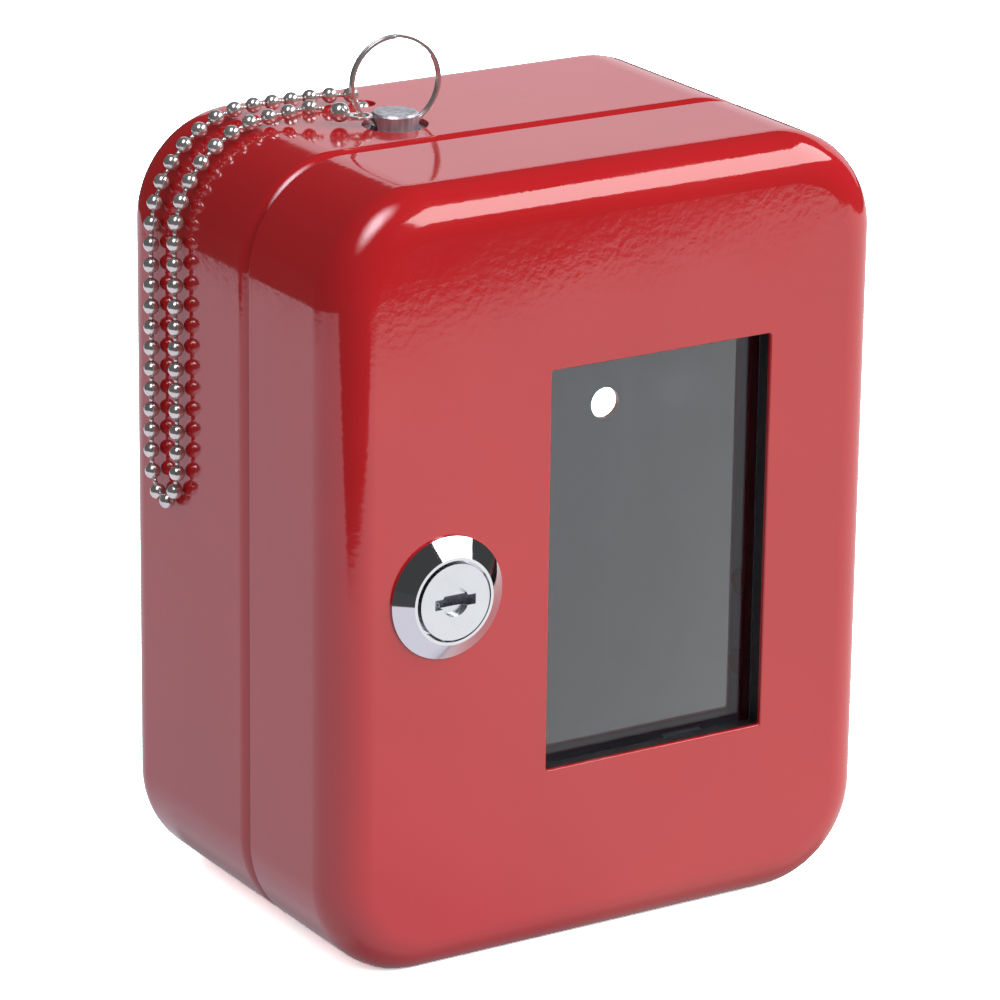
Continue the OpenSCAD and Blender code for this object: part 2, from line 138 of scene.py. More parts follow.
def either(tree, chooser, first, second):
    """A shader mix that gives the first shader where the chooser is 0 and the second where it is 1."""
    mix = tree.nodes.new("ShaderNodeMixShader")
    tree.links.new(chooser, mix.inputs["Fac"])
    tree.links.new(first, mix.inputs[1])
    tree.links.new(second, mix.inputs[2])
    return mix.outputs["Shader"]


def mapped(tree, texture, socket, value):
    """Feeds a texture with object coordinates, with one socket of their mapping set."""
    coords = tree.nodes.new("ShaderNodeTexCoord")
    mapping = tree.nodes.new("ShaderNodeMapping")
    mapping.inputs[socket].default_value = value
    tree.links.new(coords.outputs["Object"], mapping.inputs["Vector"])
    tree.links.new(mapping.outputs["Vector"], texture.inputs["Vector"])


def noise(tree, scale, detail=2.0, stretch=(1, 1, 1)):
    """A noise texture in object coordinates; scale is in features per metre."""
    texture = tree.nodes.new("ShaderNodeTexNoise")
    texture.inputs["Scale"].default_value = scale
    texture.inputs["Detail"].default_value = detail
    mapped(tree, texture, "Scale", stretch)
    return texture.outputs["Fac"]


def tint(tree, shader, value, low, high, start=0.3, end=0.7):
    """Lets a noise move the shader's base colour from low, at its start, to high, at its end."""
    node = tree.nodes.new("ShaderNodeValToRGB")
    for element, place, color in zip(node.color_ramp.elements, (start, end), (low, high)):
        element.position = place
        element.color = (*color, 1)
    tree.links.new(value, node.inputs["Fac"])
    tree.links.new(node.outputs["Color"], shader.inputs["Base Color"])


def value_ramp(tree, value, low, high, start=0.3, end=0.7):
    """Maps a noise to a number between low and high."""
    node = tree.nodes.new("ShaderNodeMapRange")
    node.inputs["From Min"].default_value = start
    node.inputs["From Max"].default_value = end
    node.inputs["To Min"].default_value = low
    node.inputs["To Max"].default_value = high
    tree.links.new(value, node.inputs["Value"])
    return node.outputs["Result"]


def bump(tree, shader, height, distance, strength):
    """Adds a bump of that height in metres to the shader, on top of any that it has."""
    node = tree.nodes.new("ShaderNodeBump")
    node.inputs["Strength"].default_value = strength
    node.inputs["Distance"].default_value = distance
    tree.links.new(height, node.inputs["Height"])
    socket = shader.inputs["Normal"]
    if socket.links:
        tree.links.new(socket.links[0].from_socket, node.inputs["Normal"])
    tree.links.new(node.outputs["Normal"], socket)


def enamel_material():
    """Glossy baked red enamel with a little orange peel and faint clouds in its colour."""
    material, tree, shader = new_material("red_enamel", (0.5, 0.008, 0.01), roughness=0.09, ior=1.75)
    tint(tree, shader, noise(tree, 22, 3), (0.53, 0.012, 0.016), (0.58, 0.015, 0.020))
    tree.links.new(value_ramp(tree, noise(tree, 60, 2), 0.06, 0.11), shader.inputs["Roughness"])
    bump(tree, shader, noise(tree, 560, 2), 0.06 * MM, 0.3)
    bump(tree, shader, noise(tree, 110, 1), 0.2 * MM, 0.1)
    return material


def primer_material():
    """Pale grey primer on the inside of the shells."""
    material, tree, shader = new_material("grey_primer", (0.6, 0.57, 0.65), roughness=0.35)
    tint(tree, shader, noise(tree, 40, 3), (0.58, 0.55, 0.63), (0.63, 0.60, 0.68))
    bump(tree, shader, noise(tree, 700, 2), 0.05 * MM, 0.3)
    return material


def chrome_material(name, color, low, high, scale, detail=2.0):
    """Plated metal with a faint variation of its gloss."""
    material, tree, shader = new_material(name, color, metallic=1.0, roughness=low)
    tree.links.new(value_ramp(tree, noise(tree, scale, detail), low, high), shader.inputs["Roughness"])
    return material, tree, shader


def satin_material():
    """Satin chrome of the plug's face, with fine turning marks."""
    material, tree, shader = chrome_material("satin_chrome", (0.74, 0.76, 0.79), 0.24, 0.28, 300)
    wave = tree.nodes.new("ShaderNodeTexWave")
    wave.wave_type = "RINGS"
    wave.rings_direction = "Y"
    wave.inputs["Scale"].default_value = 900
    wave.inputs["Distortion"].default_value = 1.5
    mapped(tree, wave, "Location", (-LOCK_X, 0, -LOCK_Z))
    bump(tree, shader, wave.outputs["Fac"], 0.01 * MM, 0.04)
    return material


def nickel_material():
    """Nickel plate, dulled a little by handling."""
    material, tree, shader = chrome_material("nickel_plate", (0.80, 0.78, 0.75), 0.1, 0.2, 500, 3)
    shader.inputs["Metallic"].default_value = 0.8
    tint(tree, shader, noise(tree, 350, 3), (0.70, 0.68, 0.66), (0.84, 0.82, 0.80))
    bump(tree, shader, noise(tree, 1500, 2), 0.02 * MM, 0.12)
    return material


def steel_material():
    """Turned steel of the striker: a soft sheen and a mottled gloss, with bands along its axis in its colour
    and bump that are partly drawn marks and partly painted sheen.
    """
    material, tree, shader = chrome_material("polished_steel", (0.6, 0.62, 0.66), 0.3, 0.45, 900, 4)
    shader.inputs["Metallic"].default_value = 0.8
    # Painted sheen: these colour bands along the axis are partly drawn marks and partly stand in for the
    # banded reflections down the striker's sides
    drawn_and_sheen_bands = noise(tree, 700, 4, (1, 1, 0.18))
    tint(tree, shader, drawn_and_sheen_bands, (0.34, 0.33, 0.37), (0.68, 0.70, 0.75), 0.32, 0.6)
    bump(tree, shader, drawn_and_sheen_bands, 0.04 * MM, 0.3)
    return material


def zinc_material():
    """Dull zinc plate of the steel pieces that are not painted."""
    material, tree, shader = chrome_material("zinc_steel", (0.6, 0.62, 0.66), 0.4, 0.55, 260, 4)
    shader.inputs["Metallic"].default_value = 0.4
    tint(tree, shader, noise(tree, 180, 3), (0.50, 0.50, 0.57), (0.62, 0.62, 0.68))
    bump(tree, shader, noise(tree, 900, 2), 0.04 * MM, 0.3)
    return material


def rubber_material():
    """Black rubber of the window's gasket, matte in patches."""
    material, tree, shader = new_material("black_rubber", (0.012, 0.012, 0.014), roughness=0.45)
    tree.links.new(value_ramp(tree, noise(tree, 300, 3), 0.38, 0.6), shader.inputs["Roughness"])
    bump(tree, shader, noise(tree, 1200, 3), 0.08 * MM, 0.4)
    return material


def glass_material():
    """Clear float glass that lets light through, glossy by its angle, with a few faint smears."""
    material, tree, surface = bare_material("clear_glass")
    clear = tree.nodes.new("ShaderNodeBsdfTransparent")
    clear.inputs["Color"].default_value = (0.93, 0.955, 0.965, 1)
    gloss = tree.nodes.new("ShaderNodeBsdfGlossy")
    tree.links.new(value_ramp(tree, noise(tree, 35, 4), 0.0, 0.04, 0.5, 0.8), gloss.inputs["Roughness"])
    fresnel = tree.nodes.new("ShaderNodeFresnel")
    fresnel.inputs["IOR"].default_value = 1.5
    look = either(tree, fresnel.outputs["Fac"], clear.outputs["BSDF"], gloss.outputs["BSDF"])
    tree.links.new(look, surface)
    return material


ENAMEL = enamel_material()
PRIMER = primer_material()
CHROME, _, _ = chrome_material("lock_chrome", (0.72, 0.73, 0.76), 0.03, 0.07, 300)
SATIN = satin_material()
NICKEL = nickel_material()
STEEL = steel_material()
ZINC = zinc_material()
RUBBER = rubber_material()
GLASS = glass_material()


# ---------------------------------------------------------------- mesh helpers


def mesh_object(bm, name, materials=()):
    """An object in the scene that takes over a bmesh."""
    mesh = bpy.data.meshes.new(name)
    bm.to_mesh(mesh)
    bm.free()
    for material in materials:
        mesh.materials.append(material)
    made = bpy.data.objects.new(name, mesh)
    bpy.context.scene.collection.objects.link(made)
    return made


def finish_piece(bm, name, body, materials, replaced):
    """Turns a bmesh into a smooth piece that rides on a body, takes a slot and stands for a CAD node."""
    bmesh.ops.recalc_face_normals(bm, faces=bm.faces[:])
    piece = mesh_object(bm, name, materials)
    piece.data.shade_smooth()
    modifier = piece.modifiers.new("weighted_normals", "WEIGHTED_NORMAL")
    modifier.keep_sharp = True
    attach(piece, body)
    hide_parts(replaced)
    return piece


def arc(cx, cy, radius, start, end, steps):
    """Points of an arc from start to end degrees, ends included."""
    angles = [math.radians(start + (end - start) * i / steps) for i in range(steps + 1)]
    return [(cx + radius * math.cos(a), cy + radius * math.sin(a)) for a in angles]


def rounded_box(x, y, half_w, half_h, corner, wider, steps):
    """Points round a rectangle with rounded corners; wider pushes them outward."""
    found = []
    for k, (side_x, side_y) in enumerate(QUARTERS):
        cx, cy = x + side_x * (half_w - corner), y + side_y * (half_h - corner)
        found += arc(cx, cy, corner + wider, 90 * k, 90 * (k + 1), steps)
    return found


def bridge(bm, first, second):
    """Quads between two closed loops of the same number of vertices."""
    count = len(first)
    for i in range(count):
        j = (i + 1) % count
        bm.faces.new((first[i], first[j], second[j], second[i]))


def loop_edges(bm, loop):
    """The edges of a closed loop of vertices, made where they are missing."""
    count = len(loop)
    return [
        bm.edges.get((loop[i], loop[(i + 1) % count])) or bm.edges.new((loop[i], loop[(i + 1) % count]))
        for i in range(count)
    ]


def fill(bm, loops, material=0):
    """Fills the flat area between an outer loop and the holes in it."""
    edges = [edge for loop in loops for edge in loop_edges(bm, loop)]
    made = bmesh.ops.triangle_fill(bm, use_beauty=True, edges=edges)
    for face in made["geom"]:
        if isinstance(face, bmesh.types.BMFace):
            face.material_index = material


def lathe(bm, profile, steps, place):
    """Turns a profile of (radius, height), from axis to axis; place maps (x, y, height) to the row frame."""
    rings = []
    for radius, height in profile:
        if radius == 0:
            rings.append([bm.verts.new(place(0, 0, height))])
            continue
        ring = []
        for i in range(steps):
            a = 2 * math.pi * i / steps
            ring.append(bm.verts.new(place(radius * math.cos(a), radius * math.sin(a), height)))
        rings.append(ring)
    for first, second in zip(rings, rings[1:]):
        if len(first) == 1 or len(second) == 1:
            tip, ring = (first[0], second) if len(first) == 1 else (second[0], first)
            for i in range(steps):
                bm.faces.new((tip, ring[i], ring[(i + 1) % steps]))
        else:
            bridge(bm, first, second)


# ---------------------------------------------------------------- shells


def spots():
    """Corner axes and outward directions round the shells' rounded rectangle."""
    found = []
    for k, (side_x, side_z) in enumerate(QUARTERS):
        for i in range(CORNER_STEPS + 1):
            a = math.pi / 2 * (k + i / CORNER_STEPS)
            found.append((side_x * ARC_X, side_z * ARC_Z, math.cos(a), math.sin(a)))
    return found


def round_outline(x, y, radius):
    """Outline of a round hole: a function of how far it is widened."""

    def points(wider):
        turn = [2 * math.pi * i / ROUND_STEPS for i in range(ROUND_STEPS)]
        return [(x + (radius + wider) * math.cos(a), y + (radius + wider) * math.sin(a)) for a in turn]

    return points


def window_outline(wider):
    """Outline of the window's opening, widened by that much."""
    return rounded_box(WINDOW_X, MID_Z, WINDOW_W / 2, WINDOW_H / 2, WINDOW_CORNER, wider, WINDOW_CORNER_STEPS)


def hole(bm, outline, place):
    """The wall of a hole through the sheet; place maps (u, v, depth). Returns its outer and inner loop."""
    turn = [math.radians(90 * i / EDGE_STEPS) for i in range(EDGE_STEPS + 1)]
    steps = [(CUT_EDGE * (1 - math.sin(a)), CUT_EDGE * (1 - math.cos(a))) for a in turn]
    steps += [(wider, SHEET - depth) for wider, depth in reversed(steps)]
    loops = [[bm.verts.new(place(u, v, depth)) for u, v in outline(wider)] for wider, depth in steps]
    for first, second in zip(loops, loops[1:]):
        bridge(bm, first, second)
    return loops[0], loops[-1]


def flat_steps(profile):
    """The outer and the inner step of a profile that are the straight wall: its two longest steps."""
    lengths = [math.dist(a, b) for a, b in zip(profile, profile[1:])]
    longest = sorted(range(len(lengths)), key=lambda j: -lengths[j])[:2]
    return sorted(longest)


def shell(name, body, node, face_y, inward, profile, inner_start, floor_holes, top_holes):
    """A deep-drawn shell that stands for a CAD node. Its profile of (radius from the corner axis, depth) runs
    from the outer floor's edge round the rim to the inner floor's; inner_start is the first point inside."""
    bm = bmesh.new()
    grid = [
        [bm.verts.new((MID_X + ax + r * dx, face_y + inward * w, MID_Z + az + r * dz)) for r, w in profile]
        for ax, az, dx, dz in spots()
    ]
    top = CORNER_STEPS  # the stretch from this spot to the next is the flat top wall
    flats = flat_steps(profile)
    for i, row in enumerate(grid):
        after = grid[(i + 1) % len(grid)]
        for j in range(len(profile) - 1):
            if top_holes and i == top and j in flats:
                continue
            face = bm.faces.new((row[j], after[j], after[j + 1], row[j + 1]))
            face.material_index = 1 if j >= inner_start else 0
    # Floor, with its holes
    outer = [[row[0] for row in grid]]
    inner = [[row[-1] for row in grid]]
    for outline in floor_holes:
        out_loop, in_loop = hole(bm, outline, lambda u, v, w: (u, face_y + inward * w, v))
        outer.append(out_loop)
        inner.append(in_loop)
    fill(bm, outer, 0)
    fill(bm, inner, 1)
    # Flat top wall, with its holes
    if top_holes:
        walls = [hole(bm, outline, lambda u, v, w: (u, v, TOP_Z - w)) for outline in top_holes]
        for side, j in enumerate(flats):
            corners = [grid[top][j], grid[top + 1][j], grid[top + 1][j + 1], grid[top][j + 1]]
            fill(bm, [corners] + [wall[side] for wall in walls], side)
    return finish_piece(bm, name, body, [ENAMEL, PRIMER], node)


def cut_round_holes(piece, places):
    """Cuts round holes along Y through a shell; places are (x, z, radius) on its back."""
    bm = bmesh.new()
    for x, z, radius in places:
        bmesh.ops.create_cone(
            bm,
            cap_ends=True,
            segments=ROUND_STEPS,
            radius1=radius,
            radius2=radius,
            depth=8 * SHEET,
            matrix=Matrix.Translation((x, BACK_Y, z)) @ Matrix.Rotation(math.pi / 2, 4, "X"),
        )
    cutter = mesh_object(bm, "cutter")
    modifier = piece.modifiers.new("cut", "BOOLEAN")
    modifier.object = cutter
    modifier.solver = "EXACT"
    piece.modifiers.move(len(piece.modifiers) - 1, 0)
    piece.modifiers["weighted_normals"].show_viewport = False
    graph = bpy.context.evaluated_depsgraph_get()
    piece.data = bpy.data.meshes.new_from_object(piece.evaluated_get(graph))
    piece.modifiers["weighted_normals"].show_viewport = True
    piece.modifiers.remove(modifier)
    bpy.data.objects.remove(cutter)


def door_profile():
    """Section of the door: fillet, wall, rounded cut rim, inside."""
    depth = door_high.y - door_low.y
    axis = CORNER_R - FRONT_FILLET
    out = arc(axis, FRONT_FILLET, FRONT_FILLET, -90, 0, FILLET_STEPS)
    out += arc(CORNER_R - CUT_EDGE, depth - CUT_EDGE, CUT_EDGE, 0, 90, EDGE_STEPS)
    inner_start = len(out) + EDGE_STEPS
    out += arc(CORNER_R - SHEET + CUT_EDGE, depth - CUT_EDGE, CUT_EDGE, 90, 180, EDGE_STEPS)
    out += arc(axis, FRONT_FILLET, FRONT_FILLET - SHEET, 0, -90, FILLET_STEPS)
    return out, inner_start


def rear_profile():
    """Section of the back shell: fillet, wall, rim turned inward, inside."""
    depth = rear_high.y - rear_low.y
    axis = CORNER_R - BACK_FILLET
    lip = CORNER_R - RIM_REACH
    out = arc(axis, BACK_FILLET, BACK_FILLET, -90, 0, FILLET_STEPS)
    out += arc(CORNER_R - RIM_ROUND, depth - RIM_ROUND, RIM_ROUND, 0, 90, FILLET_STEPS)
    out += arc(lip + CUT_EDGE, depth - CUT_EDGE, CUT_EDGE, 90, 180, EDGE_STEPS)
    inner_start = len(out)
    out += arc(lip + CUT_EDGE, depth - SHEET + CUT_EDGE, CUT_EDGE, 180, 270, EDGE_STEPS)
    out += arc(CORNER_R - RIM_ROUND, depth - RIM_ROUND, RIM_ROUND - SHEET, 90, 0, FILLET_STEPS)
    out += arc(axis, BACK_FILLET, BACK_FILLET - SHEET, 0, -90, FILLET_STEPS)
    return out, inner_start


def make_shells():
    """The enamelled door, and the rear shell with its holes in the top and the back."""
    lock_hole = round_outline(LOCK_X, LOCK_Z, LOCK_HOLE_R)
    profile, inner_start = door_profile()
    floor_holes = [window_outline, lock_hole]
    shell("door_shell_enamelled", "door", "door_shell", FRONT_Y, 1, profile, inner_start, floor_holes, [])
    top_holes = [
        round_outline(STRIKER_X, STRIKER_Y, STRIKER_HOLE_R),
        round_outline(CHAIN_HOLE.x, CHAIN_HOLE.y, CHAIN_HOLE_R),
    ]
    profile, inner_start = rear_profile()
    rear = shell(
        "rear_shell_enamelled", "cabinet", "rear_shell", BACK_Y, -1, profile, inner_start, [], top_holes
    )
    wall_holes = [(MID_X + side * WALL_HOLE_X, WALL_HOLE_Z, WALL_HOLE_R) for side in (-1, 1)]
    rivet_x = (rivet_low.x + rivet_high.x) / 2
    rivet_zs = (rivet_low.z + RIVET_HEAD_R, rivet_high.z - RIVET_HEAD_R)
    cut_round_holes(rear, wall_holes + [(rivet_x, z, RIVET_HOLE_R) for z in rivet_zs])


# ---------------------------------------------------------------- bead chain, ring and fittings

# Route of the bead chain, as in the CAD: from its hole over the corner, down, round and back up to the ring
CHAIN_MM = [
    (-18.9, 65.6, 158.8), (-18.9, 65.6, 159.8), (-19.4, 65.8, 161), (-21.2, 66.7, 161.9),
    (-24.5, 68.4, 161.8), (-29, 69, 161.8), (-35, 69, 161.8), (-41.5, 69, 161.8),
    (-47.6, 69, 161.2), (-53.2, 69, 158.8), (-58.1, 69, 155.1), (-61.8, 69, 150.2),
    (-64.2, 69, 144.6), (-64.8, 69.2, 138.5), (-64.8, 69.4, 130), (-64.8, 69.5, 120),
    (-64.8, 69.6, 110), (-64.8, 69.8, 100), (-64.8, 69.9, 92), (-64.8, 69, 87.8),
    (-64.8, 66.6, 84.9), (-64.8, 63.6, 84.7), (-64.8, 61, 86.8), (-64.8, 59.4, 91),
    (-64.8, 59.2, 100), (-64.8, 59.4, 110), (-64.8, 59.5, 120), (-64.8, 59.6, 130),
    (-64.8, 59.7, 138.5), (-64.2, 59.7, 144.6), (-61.8, 59.7, 150.2), (-58.1, 59.7, 155.1),
    (-53.2, 59.7, 158.8), (-47.6, 59.7, 161.2), (-42.5, 59.5, 161.9), (-38, 58.8, 162.5),
    (-35, 57.8, 163), (-33.6, 56.9, 163.1), (-32.4, 55.1, 162.9),
]
SHELL_ORIGIN = Vector((MID_X, FRONT_Y, 0))  # where the route's own zero lies in the row frame
BEAD_R = 1.6 * MM
BEAD_PITCH = 4.3 * MM
BEAD_MOUTH_R = 0.55 * MM  # rolled mouth that a link comes out of
MOUTH_DIP = 0.25 * MM  # how far a mouth's middle lies inside its rim
MOUTH_SHARE = 0.85  # radius of the flat in a mouth, as a share of the mouth's
LINK_R = 0.42 * MM
LINK_INSET = 0.35 * MM  # how far a link goes into its beads

EYELET_MM = (-28.3, 50, 162.1)
EYE_OUTER_R = 2.3 * MM
EYE_INNER_R = 1.55 * MM
EYE_T = 0.6 * MM
LEAF_TIP = 0.7 * MM  # half the leaf's width where it meets the coupling
LEAF_INSET = 0.5 * MM
LEAF_ROUND = 0.12 * MM
COUPLING_R = 2 * MM
COUPLING_MOUTH_R = 0.8 * MM

RING_WIRE = 0.8 * MM
RING_STACK = 1.5 * MM  # both turns together, along the ring's axis
RING_GAP = 0.04 * MM  # between the two turns
RING_CORNER = 0.2 * MM
RING_TURN = math.radians(-8)
# Angles along the wire, in degrees: its two ends, and where it steps from the first turn to the second
RING_START, RING_END = 30, 690
STEP_START, STEP_END = 330, 390
RING_CUT = 60  # where on the ring those angles begin
RING_STEP = 3  # between two sections


def smooth_route(points, parts=8):
    """A Catmull-Rom line through the points."""
    padded = [2 * points[0] - points[1], *points, 2 * points[-1] - points[-2]]
    line = []
    for a, b, c, d in zip(padded, padded[1:], padded[2:], padded[3:]):
        for i in range(parts):
            t = i / parts
            square, cube = 2 * a - 5 * b + 4 * c - d, 3 * b - a - 3 * c + d
            line.append(0.5 * (2 * b + (c - a) * t + square * t**2 + cube * t**3))
    return [*line, points[-1]]


def spaced(line, pitch):
    """Points and directions along a line at an even pitch that fits it exactly."""
    reach = [0.0]
    for a, b in zip(line, line[1:]):
        reach.append(reach[-1] + (b - a).length)
    count = round(reach[-1] / pitch)
    found = []
    j = 0
    for i in range(count + 1):
        s = reach[-1] * i / count
        while j < len(line) - 2 and reach[j + 1] < s:
            j += 1
        step = line[j + 1] - line[j]
        found.append((line[j] + step * ((s - reach[j]) / step.length), step.normalized()))
    return found


def axis_place(at, axis):
    """Maps (x, y, height) so that height runs along the axis through a point."""
    side = axis.orthogonal().normalized()
    other = axis.cross(side)
    return lambda x, y, h: at + side * x + other * y + axis * h


def bead_profile(radius, mouth_r):
    """Section of a pressed bead: a ball whose two mouths are rolled in."""
    mouth = math.degrees(math.asin(mouth_r / radius))
    rounds = arc(0, 0, radius, -90 + mouth, 90 - mouth, 14)
    flat = mouth_r * MOUTH_SHARE
    dip = rounds[-1][1] - MOUTH_DIP
    return [(0, -dip), (flat, -dip), *rounds, (flat, dip), (0, dip)]


def make_fittings():
    """The coupling at the chain's end, and the teardrop leaf that joins it to the ring."""
    coupling = (coupling_low + coupling_high) / 2
    eye = SHELL_ORIGIN + Vector(EYELET_MM) * MM
    bm = bmesh.new()
    toward = (eye - coupling).normalized()
    lathe(bm, bead_profile(COUPLING_R, COUPLING_MOUTH_R), 32, axis_place(coupling, toward))
    ball = finish_piece(bm, "coupling_ball", "striker", [NICKEL], "chain_coupling")

    level = Vector((coupling.x - eye.x, coupling.y - eye.y, 0))
    reach = level.length - COUPLING_R + LEAF_INSET
    along = level.normalized()
    across = Vector((-along.y, along.x, 0))
    spread = math.degrees(math.acos((EYE_OUTER_R - LEAF_TIP) / reach))
    outline = arc(0, 0, EYE_OUTER_R, spread, 360 - spread, 40) + [(reach, -LEAF_TIP), (reach, LEAF_TIP)]
    inner = arc(0, 0, EYE_INNER_R, 0, 360, 48)[:-1]
    bm = bmesh.new()
    loops = []
    for points in (outline, inner):
        for side in (-1, 1):
            lift = Vector((0, 0, side * EYE_T / 2))
            loops.append([bm.verts.new(eye + along * u + across * v + lift) for u, v in points])
    outer_low, outer_high, inner_low, inner_high = loops
    bridge(bm, outer_low, outer_high)
    bridge(bm, inner_low, inner_high)
    fill(bm, [outer_low, inner_low])
    fill(bm, [outer_high, inner_high])
    leaf = finish_piece(bm, "eyelet_leaf", "striker", [NICKEL], "chain_eyelet")
    round_edges(leaf, LEAF_ROUND)
    return [ball, leaf]


def round_edges(piece, width):
    """Rounds the sharp edges of a piece, before its normals are weighted."""
    modifier = piece.modifiers.new("edges", "BEVEL")
    modifier.width = width
    modifier.segments = 2
    modifier.limit_method = "ANGLE"
    modifier.angle_limit = math.radians(40)
    if len(piece.modifiers) > 1:
        piece.modifiers.move(len(piece.modifiers) - 1, 0)


def make_chain(end_pieces):
    """Hollow pressed beads on short wire links."""
    route = [SHELL_ORIGIN + Vector(point) * MM for point in CHAIN_MM]
    line = smooth_route(route)
    stops = spaced(line, BEAD_PITCH)
    profile = bead_profile(BEAD_R, BEAD_MOUTH_R)
    bm = bmesh.new()
    for at, axis in stops[:-1]:  # the last one is inside the coupling
        lathe(bm, profile, 24, axis_place(at, axis))
    for (start, _), (end, _) in zip(stops, stops[1:]):
        along = end - start
        inset = (BEAD_R - LINK_INSET) / along.length
        rod = [(0, inset), (LINK_R, inset), (LINK_R, 1 - inset), (0, 1 - inset)]
        rod = [(r, h * along.length) for r, h in rod]
        lathe(bm, rod, 10, axis_place(start, along.normalized()))
    chain = finish_piece(bm, "bead_chain_strung", "cabinet", [NICKEL], "bead_chain")


def make_split_ring():
    """One wire wound twice, with its step where the first turn passes into the second."""
    radius = (ring_high.z - ring_low.z) / 2 - RING_WIRE / 2
    centre = Vector((STRIKER_X, STRIKER_Y, (ring_low.z + ring_high.z) / 2))
    thick = RING_STACK / 2 - RING_GAP
    shift = RING_STACK / 4
    across = Vector((-math.sin(RING_TURN), math.cos(RING_TURN), 0))
    level = Vector((math.cos(RING_TURN), math.sin(RING_TURN), 0))
    section = rounded_box(0, 0, RING_WIRE / 2, thick / 2, RING_CORNER, 0, 3)
    bm = bmesh.new()
    rings = []
    for turn in range(RING_START, RING_END + 1, RING_STEP):
        t = min(max((turn - STEP_START) / (STEP_END - STEP_START), 0), 1)
        offset = shift * (2 * t * t * (3 - 2 * t) - 1)
        a = math.radians(turn + RING_CUT)
        outward = level * math.cos(a) + Vector((0, 0, 1)) * math.sin(a)
        rings.append(
            [bm.verts.new(centre + outward * (radius + u) + across * (offset + v)) for u, v in section]
        )
    for a, b in zip(rings, rings[1:]):
        bridge(bm, a, b)
    bm.faces.new(rings[0])
    bm.faces.new(rings[-1])
    finish_piece(bm, "split_ring_wound", "striker", [NICKEL], "split_ring")


# ---------------------------------------------------------------- CAD nodes that stay


PAINTED_NODES = (
    "hinge_rear_leaf_upper",
    "hinge_rear_leaf_lower",
    "hinge_door_leaf_upper",
    "hinge_door_leaf_lower",
    "rear_leaf_rivets",
    "door_leaf_rivets",
)
ZINC_NODES = (
    "hinge_pin_upper",
    "hinge_pin_lower",
    "key_hook",
    "hook_rivets",
    "striker_holder",
    "pane_channel_left",
    "pane_channel_right",
    "pane_clip_bottom",
    "lock_washer",
    "lock_nut",
    "lock_cam",
    "cam_screw",
)


def dress(names, material, edge=0.0):
    """Gives CAD nodes a material, and rounds their sharp edges."""
    for name in names:
        piece = nodes[name]
        piece.data.materials.clear()
        piece.data.materials.append(material)
        if edge:
            round_edges(piece, edge)


def dress_nodes():
    """The looks of the CAD nodes that nothing replaces."""
    dress(PAINTED_NODES, ENAMEL)
    dress(ZINC_NODES, ZINC)
    dress(["window_gasket"], RUBBER)
    dress(["window_pane"], GLASS)
    dress(["lock_housing"], CHROME, 0.15 * MM)
    dress(["lock_plug"], SATIN, 0.12 * MM)
    dress(["striker"], STEEL)
    dress(["chain_stop"], NICKEL)


# ---------------------------------------------------------------- camera, floor and light


CAMERA_TARGET_MM = (-35.35, 0, 94.55)  # from the middle of the door's foot
CAMERA_DISTANCE = 1.0226
CAMERA_AZIMUTH = -31.6  # degrees, as are the next two
CAMERA_ELEVATION = 18.9
CAMERA_ROLL = 0.6
CAMERA_LENS = 191.9

FLOOR_SIZE = 6
FLOOR_SEEN = (5.8, 8, 8)  # well over white, with the box's red bounce held back
FLOOR_BOUNCE = 0.45  # what it gives back to matte surfaces
FLOOR_MIRRORED = 0.07  # what glossy surfaces see of it

# Light of the world: as the camera sees it, on matte surfaces, and mirrored in glossy ones
WORLD_SEEN = 1.2
FILL = 0.48
DARK = 0.06

# White sheet on the table that the enamel mirrors, in metres from the box's middle; notched in front left
TABLE = [
    (0.9, -0.65), (0.9, 0.7), (-0.3, 0.7), (-0.3, 0.4), (-0.54, 0.1), (-0.54, -0.22), (-0.38, -0.24),
    (-0.22, -0.23), (-0.16, -0.28), (-0.02, -0.38), (0.05, -0.46), (0.17, -0.43),
]
TABLE_LEFT = (0.85, 0.81, 0.9)  # its light on the left, and on the right
TABLE_RIGHT = (1.1, 1.1, 1.1)
TABLE_LIFT = 0.6 * MM  # above the floor
TABLE_TURNOVER = 0.35  # cosine of the bearing at which the right side's light begins to turn into the left's
FOOT_SHADE = ((0.8, 0.3), (0.95, 0.5), (1.03, 0.85), (1.2, 1))  # (size of the box's foot, share of the light)
TABLE_EDGE = ((0.98, 1), (1.02, 0))  # (size of the sheet, share of the light)

CARD_CENTRE = Vector((0, 0, 0.1))
# (reach, share of the light)
SOFT_FADE = ((0.02, 1), (0.2, 0.9), (0.4, 0.62), (0.6, 0.32), (0.8, 0.1), (1, 0))
SOFT_SIDES = 32


def make_camera():
    """The camera that shows the box from its front left."""
    azimuth, elevation, roll = (math.radians(a) for a in (CAMERA_AZIMUTH, CAMERA_ELEVATION, CAMERA_ROLL))
    target = SHELL_ORIGIN + Vector(CAMERA_TARGET_MM) * MM
    level = Vector((math.sin(azimuth), -math.cos(azimuth), 0))
    back = level * math.cos(elevation) + Vector((0, 0, math.sin(elevation)))
    right = Vector((math.cos(azimuth), math.sin(azimuth), 0))
    up = back.cross(right)
    turned_right = math.cos(roll) * right + math.sin(roll) * up
    turned_up = math.cos(roll) * up - math.sin(roll) * right
    data = bpy.data.cameras.new("camera")
    data.sensor_width = 36
    data.lens = CAMERA_LENS
    data.shift_x = 0.04
    data.shift_y = 0.02
    data.clip_end = 20
    camera = bpy.data.objects.new("camera", data)
    axes = Matrix((turned_right, turned_up, back)).transposed().to_4x4()
    axes.translation = target + CAMERA_DISTANCE * back
    camera.matrix_world = axes
    bpy.context.scene.collection.objects.link(camera)
    bpy.context.scene.camera = camera


